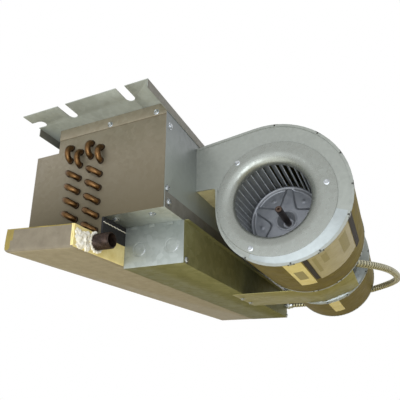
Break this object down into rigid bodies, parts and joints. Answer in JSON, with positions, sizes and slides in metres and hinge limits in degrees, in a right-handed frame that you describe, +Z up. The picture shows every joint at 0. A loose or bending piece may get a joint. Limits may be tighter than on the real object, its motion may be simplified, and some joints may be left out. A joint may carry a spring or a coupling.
{
  "type": "fan coil unit",
  "caption": "Ceiling-hung horizontal fan coil unit: open casing with a finned water coil, drain pan, control box and two blowers on one motor shaft.",
  "frame": {"origin": "centre of the four hanger slots, on the upper face of the top panel", "axes": "+X along the unit away from the end with the drain nipple, +Y towards the discharge collar with the blowers on the -Y side, +Z up"},
  "size_m": [0.9847, 0.6057, 0.2668],
  "materials": {
    "armoured_conduit": "wound strip",
    "capacitor_can": "drawn can",
    "coil_fins": "thin mill finish fins",
    "copper_tube": "brazed copper, dulled",
    "fan_sheet": "zinc coated, satin",
    "galvanised_sheet": "zinc coated, matt spangle",
    "ground_shaft": "ground steel",
    "motor_enamel": "enamelled steel",
    "mount_rubber": "moulded rubber",
    "pan_foam": "closed-cell foam with a thin facing",
    "pan_steel": "coated steel",
    "screw_zinc": "zinc plated",
    "sealing_strip": "closed-cell strip",
    "terminal_plastic": "moulded",
    "vent_brass": "turned"
  },
  "bodies": {
    "chassis": {"air_vent": "vent_brass", "blower_cutoffs": "fan_sheet", "blower_inlet_rings": "fan_sheet", "blower_side_plates": "fan_sheet", "blower_wraps": "fan_sheet", "bottom_panel": "galvanised_sheet", "casing_screws": "screw_zinc", "coil_fin_pack": "coil_fins", "coil_return_bends": "copper_tube", "collar_floor": "galvanised_sheet", "conduit_box_connector": "screw_zinc", "conduit_motor_connector": "screw_zinc", "control_box_far_cover": "galvanised_sheet", "control_box_near_cover": "galvanised_sheet", "control_box_trough": "galvanised_sheet", "cradle_screws": "screw_zinc", "far_end_plate": "galvanised_sheet", "far_top_cleat": "galvanised_sheet", "front_panel": "galvanised_sheet", "inlet_ring_screws": "screw_zinc", "motor_base": "galvanised_sheet", "motor_conduit": "armoured_conduit", "motor_cradle": "galvanised_sheet", "motor_end_bells": "motor_enamel", "motor_rubber_rings": "mount_rubber", "motor_shell": "motor_enamel", "near_end_plate": "galvanised_sheet", "near_top_cleat": "galvanised_sheet", "pan_gasket": "sealing_strip", "pan_jacket": "pan_foam", "pan_tray": "pan_steel", "rear_panel": "galvanised_sheet", "return_header": "copper_tube", "run_capacitor": "capacitor_can", "supply_header": "copper_tube", "terminal_block": "terminal_plastic", "top_panel": "galvanised_sheet"},
    "rotor": {"wheel_blades": "fan_sheet", "wheel_end_rings": "fan_sheet", "wheel_discs": "fan_sheet", "wheel_hubs": "ground_shaft", "motor_shaft": "ground_shaft"}
  },
  "joints": [
    {"name": "fan_spin", "type": "hinge", "parent": "chassis", "child": "rotor", "pos_m": [0.038, -0.24475, -0.1482], "axis": [1, 0, 0], "continuous": true}
  ]
}
